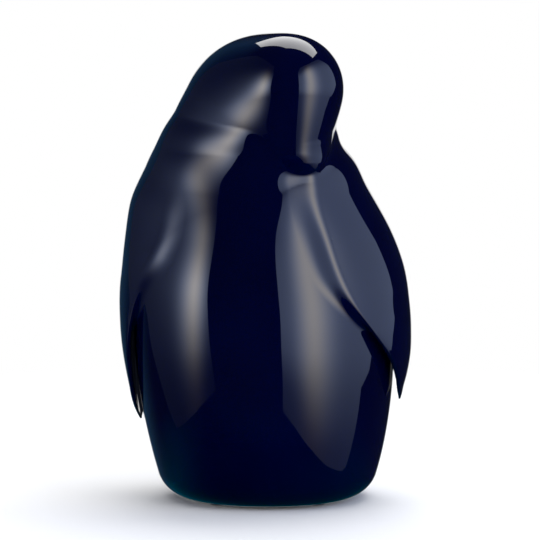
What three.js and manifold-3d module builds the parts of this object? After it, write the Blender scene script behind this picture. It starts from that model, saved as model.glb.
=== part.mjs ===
// A bird figurine in glazed porcelain: a penguin that bows its head to one side, with its wings hung
// clear of the trunk at their tips. The trunk, the head and both wings are castings joined by slip.
// Lengths are in millimetres and angles in degrees. X runs to the right of someone facing the
// bird, Y runs away from them and Z is up. Left and right are theirs too. The pads stand on Z = 0.
import * as THREE from "three";
import { mergeVertices } from "three/addons/utils/BufferGeometryUtils.js";
import Module from "manifold-3d";

// Trunk: its section at a few heights, as a centre (x, y), half a width, and the reach of the breast and back
const TRUNK = [
  { z: 0, x: 1.3, y: 0, half: 43.8, breast: 43.5, back: 42.5 },
  { z: 20, x: 1.2, y: 0, half: 49.5, breast: 49.5, back: 48 },
  { z: 44, x: 0.6, y: 0, half: 54, breast: 54, back: 52 },
  { z: 70, x: -0.2, y: 0, half: 55.8, breast: 56, back: 54 },
  { z: 92, x: -0.8, y: 0.5, half: 54.6, breast: 55, back: 54 },
  { z: 114, x: -2.2, y: 2, half: 49.4, breast: 51.5, back: 51 },
  { z: 134, x: -5.8, y: 4.6, half: 42.8, breast: 46.6, back: 44 },
  { z: 150, x: -6.8, y: 5.4, half: 35.5, breast: 39.6, back: 36 },
  { z: 162, x: -6, y: 4.4, half: 26, breast: 30, back: 27 },
  { z: 171, x: -4.6, y: 7, half: 10, breast: 12, back: 12 },
];
const SECTION_POWER = 2.1; // 2 is an ellipse, and more is squarer
const TWIST = 0.27; // how far the ridge of the breast leans to the right, at the neck
const TWIST_FROM = 96; // the height where it starts to lean
const TWIST_EASE = 12; // how gently the lean starts in front of the trunk's middle
const TWIST_LIMIT = 1.3; // the lean grows no more above this share of the way to the neck

// Nape and head: balls that swell into each other, from low to high and from crown to beak
const NAPE = {
  from: new THREE.Vector3(-17, 11.5, 127.5),
  to: new THREE.Vector3(-3.2, 4, 165.8),
  fromRadius: 34.2,
  toRadius: 31.3,
};
const HEAD = {
  from: new THREE.Vector3(13.9, -30.6, 180.9),
  to: new THREE.Vector3(13.6, -34.6, 154.4),
  fromRadius: 14.8,
  toRadius: 4.6,
};
const CROWN_BLEND = 42.5; // the nape and the head flow into each other over most of the crown
const NECK_BLEND_SOFT = 15; // on the left, where the neck runs smoothly into the trunk
const NECK_BLEND_SHARP = 2.5; // on the right, where the beak lies on the breast in a crease
const NECK_BLEND_FROM_X = -8;
const NECK_BLEND_TO_X = 18;

// Wings: the middle and half the spread of the blade, as angles round the trunk from the breast,
// then how far its middle stands off the skin and half its thickness
const RIGHT_WING = [
  { z: 44.2, middle: 79, spread: 0.5, off: 4, thick: 0.5 },
  { z: 48, middle: 82, spread: 8.5, off: 4.1, thick: 0.8 },
  { z: 54, middle: 84.5, spread: 16, off: 4.6, thick: 1.4 },
  { z: 62, middle: 86, spread: 24.5, off: 5, thick: 2.1 },
  { z: 74, middle: 87, spread: 36, off: 4.5, thick: 3.1 },
  { z: 88, middle: 87.5, spread: 46.5, off: 3.4, thick: 4.1 },
  { z: 102, middle: 87.5, spread: 52.5, off: 2.5, thick: 5.1 },
  { z: 118, middle: 88, spread: 55.5, off: 1.4, thick: 5.7 },
  { z: 134, middle: 88, spread: 55, off: 0.4, thick: 6 },
  { z: 148, middle: 89, spread: 50, off: 0, thick: 5.4 },
  { z: 155, middle: 90, spread: 40, off: -3.2, thick: 4.4 },
  { z: 160, middle: 91, spread: 28, off: -8, thick: 3.4 },
];
const LEFT_WING = [
  { z: 32.8, middle: -98, spread: 0.5, off: 2.5, thick: 0.5 },
  { z: 37, middle: -99.5, spread: 8.5, off: 2.6, thick: 0.65 },
  { z: 43, middle: -100, spread: 16, off: 2.9, thick: 0.9 },
  { z: 51, middle: -101.5, spread: 22.5, off: 3.2, thick: 1.3 },
  { z: 63, middle: -106, spread: 30.5, off: 3.6, thick: 2 },
  { z: 77, middle: -108.5, spread: 36.5, off: 3.7, thick: 3 },
  { z: 93, middle: -109.5, spread: 42.5, off: 2.8, thick: 4.9 },
  { z: 109, middle: -107, spread: 50, off: 1.6, thick: 4.9 },
  { z: 120, middle: -106, spread: 53, off: 0.3, thick: 4.2 },
  { z: 129, middle: -105.5, spread: 53, off: -1, thick: 3.4 },
  { z: 136, middle: -105, spread: 50, off: -4, thick: 3 },
  { z: 142, middle: -104, spread: 44, off: -9, thick: 3 },
];

// Walls and joints of the castings
const TRUNK_WALL = 4.5;
const HEAD_WALL = 4;
const SLIP_GAP = 0.3; // room for the slip in each joint
const NECK_HEIGHT = 150; // where the neck joint crosses the middle of the trunk
const NECK_RISE_X = -0.2; // the joint's rise for each millimetre to the right
const NECK_RISE_Y = 0.12; // and for each millimetre to the back
const NECK_TURN_FROM = 100; // the height where the sections of the trunk start to lean to the joint
const COLLAR_DEPTH = 5;
const COLLAR_THICK = 2.5;
const COLLAR_GAP = 0.5; // between the head's collar and the inside of the neck

// Foot, base disc and pads
const FOOT_RADIUS = 10; // the rounding under the foot's edge
const OPENING_RADIUS = 24; // inside the flat, unglazed foot ring
const FLOOR_THICK = 6.5;
const FLOOR_FILLET = 6;
const LEDGE_WIDTH = 3; // what the base disc seats against
const DISC_THICK = 3;
const DISC_CHAMFER = 0.5;
const DISC_RECESS = 0.8; // how far the disc lies above the foot ring
const VENT_RADIUS = 6;
const PAD_RADIUS = 4;
const PAD_THICK = 0.9;
const PAD_GLUE = 0.1;
const PAD_BEARINGS = [45, 135, 225, 315];

// Fineness of the faces
const TRUNK_AROUND = 48;
const HEAD_AROUND = 64;
const DISC_AROUND = 48;
const TRUNK_RINGS = 15;
const FOOT_RINGS = 4;
const HEAD_RINGS = 14;
const BEAK_CROWDING = 0.6; // how much closer than even the head's points stand at the beak
const NECK_CROWDING = 1.3; // more than 1 sets the head's rings closer together at the neck
const WING_RINGS = 24;
const TIP_CROWDING = 1.35; // and the wing's rings closer together at its tip
const WING_AROUND = 24;
const PAD_AROUND = 24;

// How the skin is found along a ray from inside
const FARTHEST = 110;
const HALVINGS = 32;
const SLOPE_STEP = 0.05; // the step over which the field's slope is measured
const LEAST_SLOPE = 0.3;
const DEEPEST = 0.4; // a wall's inside lies farther out than this share of the way to the skin
const PROUDEST = 10; // and a grown skin less than this far outside the skin itself

const FOOT_Z = PAD_THICK + PAD_GLUE;
const DISC_Z = FOOT_Z + DISC_RECESS;
const LEDGE_Z = DISC_Z + DISC_THICK + SLIP_GAP;
const FLOOR_Z = FOOT_Z + FLOOR_THICK;

const radians = THREE.MathUtils.degToRad;

// The value of one column of a table at a height, on a smooth curve through its rows.
function curve(rows, key, z) {
  const last = rows.length - 1;
  const slope = (i) => (rows[i + 1][key] - rows[i][key]) / (rows[i + 1].z - rows[i].z);
  const tangent = (i) => {
    if (i === 0) return slope(0);
    if (i === last) return slope(last - 1);
    const before = rows[i].z - rows[i - 1].z;
    const after = rows[i + 1].z - rows[i].z;
    return (slope(i - 1) * after + slope(i) * before) / (before + after);
  };
  if (z <= rows[0].z) return rows[0][key] + (z - rows[0].z) * tangent(0);
  if (z >= rows[last].z) return rows[last][key] + (z - rows[last].z) * tangent(last);
  const i = rows.findIndex((row, n) => n < last && z < rows[n + 1].z);
  const gap = rows[i + 1].z - rows[i].z;
  const t = (z - rows[i].z) / gap;
  return (
    (1 + 2 * t) * (1 - t) ** 2 * rows[i][key] +
    t * (1 - t) ** 2 * gap * tangent(i) +
    t * t * (3 - 2 * t) * rows[i + 1][key] +
    t * t * (t - 1) * gap * tangent(i + 1)
  );
}

// The trunk's radius at a height, along the direction (across, forward), which has length 1.
function trunkRadius(z, across, forward) {
  const half = Math.max(curve(TRUNK, "half", z), 0.5);
  const reach = Math.max(curve(TRUNK, forward > 0 ? "breast" : "back", z), 0.5);
  const sum = Math.abs(across / half) ** SECTION_POWER + Math.abs(forward / reach) ** SECTION_POWER;
  return sum ** (-1 / SECTION_POWER);
}

// The foot's radius at an angle from the breast, before its edge is rounded.
function footRadius(angle) {
  return trunkRadius(0, Math.sin(angle), Math.cos(angle));
}

// How far the lean of the breast moves a point to the right, for how far it lies ahead of the middle.
function twist(z, ahead) {
  const rise = Math.min(Math.max(z - TWIST_FROM, 0) / (NECK_HEIGHT - TWIST_FROM), TWIST_LIMIT);
  const front = Math.max(ahead, 0);
  return (TWIST * rise * rise * front * front) / (front + TWIST_EASE);
}

// How far the foot's rounding draws the trunk in at a height.
function footInset(z) {
  const lift = THREE.MathUtils.clamp(1 - (z - FOOT_Z) / FOOT_RADIUS, 0, 1);
  return FOOT_RADIUS * (1 - Math.sqrt(1 - lift * lift));
}

// Each field below is negative inside its form, zero on its skin and positive outside.
function trunkField(p) {
  const forward = curve(TRUNK, "y", p.z) - p.y;
  const across = p.x - curve(TRUNK, "x", p.z) - twist(p.z, forward);
  const r = Math.hypot(across, forward) + 1e-9;
  const radius = trunkRadius(p.z, across / r, forward / r) - footInset(p.z);
  return Math.max(r - radius, p.z - TRUNK.at(-1).z);
}

// Balls strung on a line, whose radius changes evenly along it.
function taperedField(p, { from, to, fromRadius, toRadius }) {
  const line = to.clone().sub(from);
  const length2 = line.lengthSq();
  const drop = fromRadius - toRadius;
  const a2 = length2 - drop * drop;
  const offset = p.clone().sub(from);
  const y = offset.dot(line);
  const z = y - length2;
  const x2 = offset.multiplyScalar(length2).addScaledVector(line, -y).lengthSq();
  const y2 = y * y * length2;
  const z2 = z * z * length2;
  const k = Math.sign(drop) * drop * drop * x2;
  if (Math.sign(z) * a2 * z2 > k) return Math.sqrt(x2 + z2) / length2 - toRadius;
  if (Math.sign(y) * a2 * y2 < k) return Math.sqrt(x2 + y2) / length2 - fromRadius;
  return (Math.sqrt((x2 * a2) / length2) + y * drop) / length2 - fromRadius;
}

function blended(a, b, width) {
  const h = Math.max(width - Math.abs(a - b), 0) / width;
  return Math.min(a, b) - (h * h * width) / 4;
}

// Trunk, nape and head in one skin.
function birdField(p) {
  const bowed = blended(taperedField(p, NAPE), taperedField(p, HEAD), CROWN_BLEND);
  const sharp = THREE.MathUtils.smoothstep(p.x, NECK_BLEND_FROM_X, NECK_BLEND_TO_X);
  const width = THREE.MathUtils.lerp(NECK_BLEND_SOFT, NECK_BLEND_SHARP, sharp);
  return blended(trunkField(p), bowed, width);
}

// The field as a real distance from the skin.
function birdDistance(p) {
  const e = SLOPE_STEP;
  const slope = new THREE.Vector3();
  for (const axis of ["x", "y", "z"]) {
    const ahead = p.clone();
    const behind = p.clone();
    ahead[axis] += e;
    behind[axis] -= e;
    slope[axis] = (birdField(ahead) - birdField(behind)) / (2 * e);
  }
  return birdField(p) / Math.max(slope.length(), LEAST_SLOPE);
}

// How far along a ray a field turns from negative to positive.
function crossing(origin, direction, field, low, high) {
  for (let n = 0; n < HALVINGS; n++) {
    const t = (low + high) / 2;
    if (field(origin.clone().addScaledVector(direction, t)) < 0) low = t;
    else high = t;
  }
  return (low + high) / 2;
}

// Where a ray from inside the bird comes to a given depth under the skin, or above it if negative.
function reach(origin, direction, depth) {
  const at = (t) => origin.clone().addScaledVector(direction, t);
  const skin = crossing(origin, direction, birdField, 0, FARTHEST);
  if (depth === 0) return at(skin);
  const buried = (p) => birdDistance(p) + depth;
  return at(crossing(origin, direction, buried, skin * DEEPEST, skin + PROUDEST));
}

const UP = new THREE.Vector3(0, 0, 1);
const NECK_NORMAL = new THREE.Vector3(-NECK_RISE_X, -NECK_RISE_Y, 1).normalize();
const NECK_CENTRE = spine(NECK_HEIGHT);
const COLLAR_END = NECK_CENTRE.clone().addScaledVector(NECK_NORMAL, -COLLAR_DEPTH);

// The middle of the trunk at a height.
function spine(z) {
  return new THREE.Vector3(curve(TRUNK, "x", z), curve(TRUNK, "y", z), z);
}

// A ray's direction, square to the given normal, at an angle round it from the breast.
function bearing(normal, angle) {
  const right = new THREE.Vector3(0, -1, 0).cross(normal).negate().normalize();
  const front = normal.clone().cross(right).negate().normalize();
  return front.multiplyScalar(Math.cos(angle)).addScaledVector(right, Math.sin(angle));
}

const turns = (count) => Array.from({ length: count }, (_, i) => (2 * Math.PI * i) / count);

// Angles all round the head, crowded together at the beak.
const BEAK_ANGLE = Math.atan2(HEAD.to.x - NECK_CENTRE.x, NECK_CENTRE.y - HEAD.to.y);
const headTurns = turns(HEAD_AROUND).map(
  (turn) => BEAK_ANGLE + turn - BEAK_CROWDING * Math.sin(turn),
);

// A ring on the plane through a point, at a depth under the skin.
function planeRing(centre, normal, angles, depth) {
  return angles.map((angle) => reach(centre, bearing(normal, angle), depth));
}

// The sections of the trunk turn from level to the lean of the neck joint.
function trunkRing(z, angles, depth) {
  const lean = THREE.MathUtils.smoothstep(z, NECK_TURN_FROM, NECK_HEIGHT);
  const normal = UP.clone().lerp(NECK_NORMAL, lean).normalize();
  return planeRing(spine(z), normal, angles, depth);
}

// A level ring round the trunk's middle, with a radius for each angle.
function levelRing(z, angles, radiusAt) {
  const centre = spine(z);
  return angles.map((angle) => {
    const r = radiusAt(angle);
    return new THREE.Vector3(centre.x + r * Math.sin(angle), centre.y - r * Math.cos(angle), z);
  });
}

// Rings that fan up from the neck joint towards the crown.
function headRings(centre, depth, first) {
  const rings = [];
  for (let i = first; i < HEAD_RINGS; i++) {
    const climb = (Math.PI / 2) * (i / HEAD_RINGS) ** NECK_CROWDING;
    rings.push(
      headTurns.map((angle) => {
        const direction = bearing(NECK_NORMAL, angle).multiplyScalar(Math.cos(climb));
        return reach(centre, direction.addScaledVector(NECK_NORMAL, Math.sin(climb)), depth);
      }),
    );
  }
  return rings;
}

const trunkHeights = [];
for (let i = 0; i < FOOT_RINGS; i++) {
  const turn = ((Math.PI / 2) * i) / FOOT_RINGS;
  trunkHeights.push(FOOT_Z + FOOT_RADIUS * (1 - Math.cos(turn)));
}
for (let i = 0; i <= TRUNK_RINGS; i++) {
  trunkHeights.push(THREE.MathUtils.lerp(FOOT_Z + FOOT_RADIUS, NECK_HEIGHT, i / TRUNK_RINGS));
}

// A closed surface over a run of rings. It ends in the two tips, or without them runs round to its start.
function skinOver(rings, startTip, endTip) {
  const points = rings.flat();
  const around = rings[0].length;
  const faces = [];
  const links = startTip ? rings.length - 1 : rings.length;
  for (let j = 0; j < links; j++) {
    const next = (j + 1) % rings.length;
    for (let i = 0; i < around; i++) {
      const k = (i + 1) % around;
      const [a, b] = [j * around + i, j * around + k];
      const [c, d] = [next * around + k, next * around + i];
      faces.push(a, b, c, a, c, d);
    }
  }
  if (startTip) {
    points.push(startTip, endTip);
    const end = (rings.length - 1) * around;
    for (let i = 0; i < around; i++) {
      const k = (i + 1) % around;
      faces.push(points.length - 2, k, i);
      faces.push(points.length - 1, end + i, end + k);
    }
  }
  const geometry = new THREE.BufferGeometry().setFromPoints(points);
  geometry.setIndex(enclosed(points, faces) < 0 ? faces.reverse() : faces);
  geometry.computeVertexNormals();
  return geometry;
}

// Six times the volume inside the faces, negative if they look inwards.
function enclosed(points, faces) {
  let sum = 0;
  for (let i = 0; i < faces.length; i += 3) {
    const [a, b, c] = [points[faces[i]], points[faces[i + 1]], points[faces[i + 2]]];
    sum += a.dot(b.clone().cross(c));
  }
  return sum;
}

const wasm = await Module();
wasm.setup();

function toSolid(geometry) {
  const bare = geometry.clone().deleteAttribute("normal").deleteAttribute("uv");
  const merged = mergeVertices(bare, 1e-4);
  return new wasm.Manifold(
    new wasm.Mesh({
      numProp: 3,
      vertProperties: new Float32Array(merged.attributes.position.array),
      triVerts: new Uint32Array(merged.index.array),
    }),
  );
}

function toGeometry(solid) {
  const mesh = solid.getMesh();
  const geometry = new THREE.BufferGeometry();
  geometry.setAttribute("position", new THREE.BufferAttribute(mesh.vertProperties, 3));
  geometry.setIndex(new THREE.BufferAttribute(mesh.triVerts, 1));
  return geometry;
}

// The trunk: a wall with a flat foot ring, a rebate for the base disc and an open neck.
function trunkCasting() {
  const angles = turns(TRUNK_AROUND);
  const rings = trunkHeights.map((z) => trunkRing(z, angles, 0));
  rings.push(planeRing(NECK_CENTRE, NECK_NORMAL, angles, TRUNK_WALL));
  rings.push(planeRing(COLLAR_END, NECK_NORMAL, angles, TRUNK_WALL));
  const below = COLLAR_END.z - COLLAR_DEPTH;
  const inside = trunkHeights.filter((z) => z > FLOOR_Z + FLOOR_FILLET && z < below);
  for (const z of inside.reverse()) rings.push(trunkRing(z, angles, TRUNK_WALL));
  for (let i = 0; i <= FOOT_RINGS; i++) {
    const turn = ((Math.PI / 2) * i) / FOOT_RINGS;
    const z = FLOOR_Z + FLOOR_FILLET * (1 - Math.sin(turn));
    const inset = TRUNK_WALL + FLOOR_FILLET * (1 - Math.cos(turn));
    rings.push(levelRing(z, angles, (angle) => footRadius(angle) - inset));
  }
  const rebate = [
    [FLOOR_Z, OPENING_RADIUS - LEDGE_WIDTH],
    [LEDGE_Z, OPENING_RADIUS - LEDGE_WIDTH],
    [LEDGE_Z, OPENING_RADIUS],
    [FOOT_Z, OPENING_RADIUS],
  ];
  for (const [z, radius] of rebate) rings.push(levelRing(z, angles, () => radius));
  return skinOver(rings);
}

// The head: a cap whose collar drops inside the neck of the trunk.
function headCasting() {
  const rim = NECK_CENTRE.clone().addScaledVector(NECK_NORMAL, SLIP_GAP);
  const collarOuter = TRUNK_WALL + COLLAR_GAP;
  const collarInner = collarOuter + COLLAR_THICK;
  const inside = headRings(rim, HEAD_WALL, 2).reverse();
  const rings = [
    ...inside,
    planeRing(rim, NECK_NORMAL, headTurns, collarInner),
    planeRing(COLLAR_END, NECK_NORMAL, headTurns, collarInner),
    planeRing(COLLAR_END, NECK_NORMAL, headTurns, collarOuter),
    planeRing(rim, NECK_NORMAL, headTurns, collarOuter),
    ...headRings(rim, 0, 0),
  ];
  return skinOver(rings, reach(rim, NECK_NORMAL, HEAD_WALL), reach(rim, NECK_NORMAL, 0));
}

// The whole bird without its wings, grown by the room for slip, which the wings are cut to fit.
function wingSeat() {
  const rings = trunkHeights.map((z) => trunkRing(z, headTurns, -SLIP_GAP));
  rings.push(...headRings(NECK_CENTRE, -SLIP_GAP, 1));
  return skinOver(rings, spine(FOOT_Z), reach(NECK_CENTRE, NECK_NORMAL, -SLIP_GAP));
}

// A wing: a blade that follows the bird's skin, thick at the shoulder and thin at its free tip.
function wingBlade(rows) {
  const [low, high] = [rows[0].z, rows.at(-1).z];
  const rings = [];
  for (let j = 0; j < WING_RINGS; j++) {
    const climb = (j / (WING_RINGS - 1)) ** TIP_CROWDING;
    const z = THREE.MathUtils.lerp(low, high, climb);
    const centre = spine(z);
    rings.push(
      turns(WING_AROUND).map((turn) => {
        const spread = curve(rows, "spread", z) * Math.cos(turn);
        const angle = radians(curve(rows, "middle", z) + spread);
        const off = curve(rows, "off", z) + curve(rows, "thick", z) * Math.sin(turn);
        const outward = bearing(UP, angle);
        const r = crossing(centre, outward, (p) => birdField(p) - off, 0, FARTHEST);
        return centre.clone().addScaledVector(outward, r);
      }),
    );
  }
  const middleOf = (ring) =>
    ring.reduce((sum, p) => sum.add(p), new THREE.Vector3()).divideScalar(ring.length);
  return skinOver(rings, middleOf(rings[0]), middleOf(rings.at(-1)));
}

function baseDisc() {
  const edge = OPENING_RADIUS - SLIP_GAP;
  const profile = [
    [VENT_RADIUS, 0],
    [edge - DISC_CHAMFER, 0],
    [edge, DISC_CHAMFER],
    [edge, DISC_THICK],
    [VENT_RADIUS, DISC_THICK],
    [VENT_RADIUS, 0],
  ].map(([r, z]) => new THREE.Vector2(r, z));
  return new THREE.LatheGeometry(profile, DISC_AROUND).rotateX(Math.PI / 2);
}

function feltPad() {
  return new THREE.CylinderGeometry(PAD_RADIUS, PAD_RADIUS, PAD_THICK, PAD_AROUND).rotateX(Math.PI / 2);
}

const glaze = { color: 0x020a2a, roughness: 0.05, metalness: 0 };
const bisque = { color: 0xd8d2c4, roughness: 0.85, metalness: 0 };
const felt = { color: 0x1c1c20, roughness: 1, metalness: 0 };

function piece(name, geometry, finish) {
  const mesh = new THREE.Mesh(geometry, new THREE.MeshStandardMaterial(finish));
  mesh.name = name;
  return mesh;
}

const seat = toSolid(wingSeat());
const cutToSeat = (rows) => toGeometry(toSolid(wingBlade(rows)).subtract(seat));

const figure = new THREE.Group();
figure.add(piece("trunk_casting", trunkCasting(), glaze));
figure.add(piece("head_casting", headCasting(), glaze));
figure.add(piece("left_wing", cutToSeat(LEFT_WING), glaze));
figure.add(piece("right_wing", cutToSeat(RIGHT_WING), glaze));

const disc = piece("base_disc", baseDisc(), bisque);
disc.position.copy(spine(0)).setZ(DISC_Z);
figure.add(disc);

PAD_BEARINGS.forEach((degrees, n) => {
  const angle = radians(degrees);
  const middle = (footRadius(angle) - FOOT_RADIUS + OPENING_RADIUS) / 2;
  const pad = piece(`felt_pad_${n + 1}`, feltPad(), felt);
  pad.position.copy(levelRing(0, [angle], () => middle)[0]).setZ(PAD_THICK / 2);
  figure.add(pad);
});

// The bird stands over the middle of its own outline.
const outline = new THREE.Box3().setFromObject(figure);
figure.position.x = -(outline.min.x + outline.max.x) / 2;
figure.position.y = -(outline.min.y + outline.max.y) / 2;

const part = new THREE.Group();
part.add(figure);
export default part;
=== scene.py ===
"""A glossy blue porcelain bird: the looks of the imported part, in the part's own frame, in metres.

The form is worked out in millimetres as distance fields, negative inside and zero on the skin.
X runs to the viewer's right, Y runs away from them and Z is up.
"""
import math

import bpy
import numpy as np
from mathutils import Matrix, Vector

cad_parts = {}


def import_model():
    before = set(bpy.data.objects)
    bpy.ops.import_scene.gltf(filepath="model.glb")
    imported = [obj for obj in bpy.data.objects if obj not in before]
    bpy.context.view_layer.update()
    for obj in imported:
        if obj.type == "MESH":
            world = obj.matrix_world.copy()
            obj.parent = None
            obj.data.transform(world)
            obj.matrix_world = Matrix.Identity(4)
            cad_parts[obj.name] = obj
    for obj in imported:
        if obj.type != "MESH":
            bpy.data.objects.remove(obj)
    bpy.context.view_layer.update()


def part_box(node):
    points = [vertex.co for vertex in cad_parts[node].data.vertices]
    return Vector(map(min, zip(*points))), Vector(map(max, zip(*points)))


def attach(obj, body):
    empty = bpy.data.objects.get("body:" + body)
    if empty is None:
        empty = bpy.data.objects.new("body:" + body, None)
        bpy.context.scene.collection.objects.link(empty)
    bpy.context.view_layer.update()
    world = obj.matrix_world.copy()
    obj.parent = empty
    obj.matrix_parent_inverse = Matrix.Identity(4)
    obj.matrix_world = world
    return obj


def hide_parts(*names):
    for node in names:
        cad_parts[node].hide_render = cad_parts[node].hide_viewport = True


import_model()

MM = 0.001

# Sizes, in millimetres

FOOT_Z = 1.0
FOOT_RADIUS = 10.0
SECTION_POWER = 2.1
# height, centre x, half width, centre y, reach of the breast, reach of the back
TRUNK = np.array([
    (0.0, 1.3, 43.8, 0.0, 43.5, 42.5),
    (20.0, 1.2, 49.5, 0.0, 49.5, 48.0),
    (44.0, 0.6, 54.0, 0.0, 54.0, 52.0),
    (70.0, -0.2, 55.8, 0.0, 56.0, 54.0),
    (92.0, -0.8, 54.6, 0.5, 55.0, 54.0),
    (114.0, -2.2, 49.4, 2.0, 51.5, 51.0),
    (134.0, -5.8, 42.8, 4.6, 46.6, 44.0),
    (150.0, -6.8, 35.5, 5.4, 39.6, 36.0),
    (162.0, -6.0, 26.0, 4.4, 30.0, 27.0),
    (171.0, -4.6, 10.0, 7.0, 12.0, 12.0),
])
# two balls and the skin stretched between them
NAPE = (np.array([-17.0, 11.5, 127.5]), np.array([-3.2, 4.0, 165.8]), 34.2, 31.3)
HEAD = (np.array([13.9, -30.6, 180.9]), np.array([13.6, -34.6, 154.4]), 14.8, 4.6)
CROWN_BLEND = 42.5           # how widely the two flow into each other
TWIST = 0.27                 # how far the breast's ridge leans to the right, between the TWIST_Z heights
TWIST_Z = (96.0, 150.0)
TWIST_EASE = 12.0
TWIST_LIMIT = 1.3
NECK_BLEND = (15.0, 2.5)     # and into the trunk, to the left and right of NECK_BLEND_X
NECK_BLEND_X = (-8.0, 18.0)
# the crease between nape and left shoulder, and the throat, are filled softly round these points
FILLS = np.array([
    (-36.0, -4.0, 163.0),
    (-30.7, -14.5, 162.0),
    (-22.2, -24.1, 162.0),
    (-13.7, -31.4, 160.0),
    (-6.9, -36.5, 156.0),
    (-42.0, -19.0, 146.0),
    (-33.0, -27.0, 145.0),
    (9.0, -38.5, 137.0),
    (16.0, -37.0, 136.0),
])
FILL_REACH = 14.0
FILL_HEIGHT = 1.45
# height, middle of the blade in degrees round the trunk, half its spread, stand-off, half thickness
RIGHT_WING = np.array([
    (44.2, 79.0, 0.5, 4.0, 0.5),
    (48.0, 82.0, 8.5, 4.1, 0.8),
    (54.0, 84.5, 16.0, 4.6, 1.4),
    (62.0, 86.0, 24.5, 5.0, 2.1),
    (74.0, 87.0, 36.0, 4.5, 3.1),
    (88.0, 87.5, 46.5, 3.4, 4.1),
    (102.0, 87.5, 52.5, 2.5, 5.1),
    (118.0, 88.0, 55.5, 1.4, 5.7),
    (134.0, 88.0, 55.0, 0.4, 6.0),
    (148.0, 89.0, 50.0, 0.0, 5.4),
    (155.0, 90.0, 40.0, -3.2, 4.4),
    (160.0, 91.0, 28.0, -8.0, 3.4),
])
LEFT_WING = np.array([
    (32.8, -98.0, 0.5, 2.5, 0.5),
    (37.0, -99.5, 8.5, 2.6, 0.65),
    (43.0, -100.0, 16.0, 2.9, 0.9),
    (51.0, -101.5, 22.5, 3.2, 1.3),
    (63.0, -106.0, 30.5, 3.6, 2.0),
    (77.0, -108.5, 36.5, 3.7, 3.0),
    (93.0, -109.5, 42.5, 2.8, 4.9),
    (109.0, -107.0, 50.0, 1.2, 4.9),
    (120.0, -106.0, 53.0, -0.8, 4.2),
    (129.0, -105.5, 53.0, -3.2, 3.4),
    (136.0, -105.0, 50.0, -7.0, 3.0),
    (142.0, -104.0, 44.0, -11.5, 3.0),
])
WING_BLEND = (1.0, 12.0)     # where the wing is free, and where it grows out of the shoulder
BLEND_ROWS = {"right": (3, 6), "left": (4, 7)}  # the rows of a wing between which its blend grows
SHOULDER_SINK = 2.6          # how far a blade's middle sinks into the trunk where it grows out of it
EDGE_ROUND = (0.45, 1.0)     # rounding of the wing's edge, at the tip and from EDGE_RISE above it
EDGE_RISE = 12.0
LENS_POWER = (0.7, 1.2)      # 0.5 is an ellipse across the blade, 1 a lens, more a long soft slope

NECK_HEIGHT = 150.0
NECK_RISE = (-0.2, 0.12)     # of the neck's joint, for each millimetre to the right and to the back
TRUNK_WALL = 4.5
HEAD_WALL = 4.0
OPENING_RADIUS = 24.0
LEDGE_WIDTH = 3.0
LEDGE_Z = 5.1
FLOOR_Z = 7.5
FLOOR_FILLET = 6.0
COLLAR_DEPTH = 5.0
COLLAR_THICK = 2.5
COLLAR_GAP = 0.5
SLIP_GAP = 0.3

# The form

CURVE_STEP = 0.02
CURVE_SPAN = (-10.0, 215.0)
TINY = 1e-9


class Curves:
    """Every column of a table as a smooth curve of height, looked up on a fine ladder of heights."""

    def __init__(self, rows, low, high):
        self.low = low
        z = np.arange(low, high + CURVE_STEP, CURVE_STEP)
        x = rows[:, 0]
        gap = np.diff(x)
        i = np.clip(np.searchsorted(x, z, side="right") - 1, 0, len(x) - 2)
        u = (np.clip(z, x[0], x[-1]) - x[i]) / gap[i]
        columns = []
        for v in rows[:, 1:].T:
            slope = np.diff(v) / gap
            tangent = np.empty(len(x))
            tangent[0], tangent[-1] = slope[0], slope[-1]
            tangent[1:-1] = (slope[:-1] * gap[1:] + slope[1:] * gap[:-1]) / (gap[:-1] + gap[1:])
            value = (
                (1 + 2 * u) * (1 - u) ** 2 * v[i]
                + u * (1 - u) ** 2 * gap[i] * tangent[i]
                + u * u * (3 - 2 * u) * v[i + 1]
                + u * u * (u - 1) * gap[i] * tangent[i + 1]
            )
            value += np.maximum(z - x[-1], 0) * tangent[-1] + np.minimum(z - x[0], 0) * tangent[0]
            columns.append(value)
        self.columns = np.array(columns)

    def at(self, z, *wanted):
        """The wanted columns at some heights."""
        # the last place still has a next one to draw towards
        place = np.clip((z - self.low) / CURVE_STEP, 0, self.columns.shape[1] - 1.001)
        i = place.astype(np.int64)
        t = place - i
        return [self.columns[c][i] * (1 - t) + self.columns[c][i + 1] * t for c in wanted]


TRUNK_CURVES = Curves(TRUNK, *CURVE_SPAN)
WINGS = {
    "right": (RIGHT_WING, Curves(RIGHT_WING, *CURVE_SPAN)),
    "left": (LEFT_WING, Curves(LEFT_WING, *CURVE_SPAN)),
}


def smooth_step(a, b, x):
    """0 below a, 1 above b, with a soft rise between."""
    t = np.clip((x - a) / (b - a), 0, 1)
    return t * t * (3 - 2 * t)


def smooth_min(a, b, k):
    """The lesser of two fields, rounded off where they differ by less than k."""
    h = np.maximum(k - np.abs(a - b), 0) / k
    return np.minimum(a, b) - h * h * k / 4


LEAST_RADIUS = 0.5


def section_radius(z, across, forward):
    """The trunk's radius at a height, along a direction of length 1."""
    half, breast, back = (np.maximum(c, LEAST_RADIUS) for c in TRUNK_CURVES.at(z, 1, 3, 4))
    reach = np.where(forward > 0, breast, back)
    total = np.abs(across / half) ** SECTION_POWER + np.abs(forward / reach) ** SECTION_POWER
    return total ** (-1 / SECTION_POWER)


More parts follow.
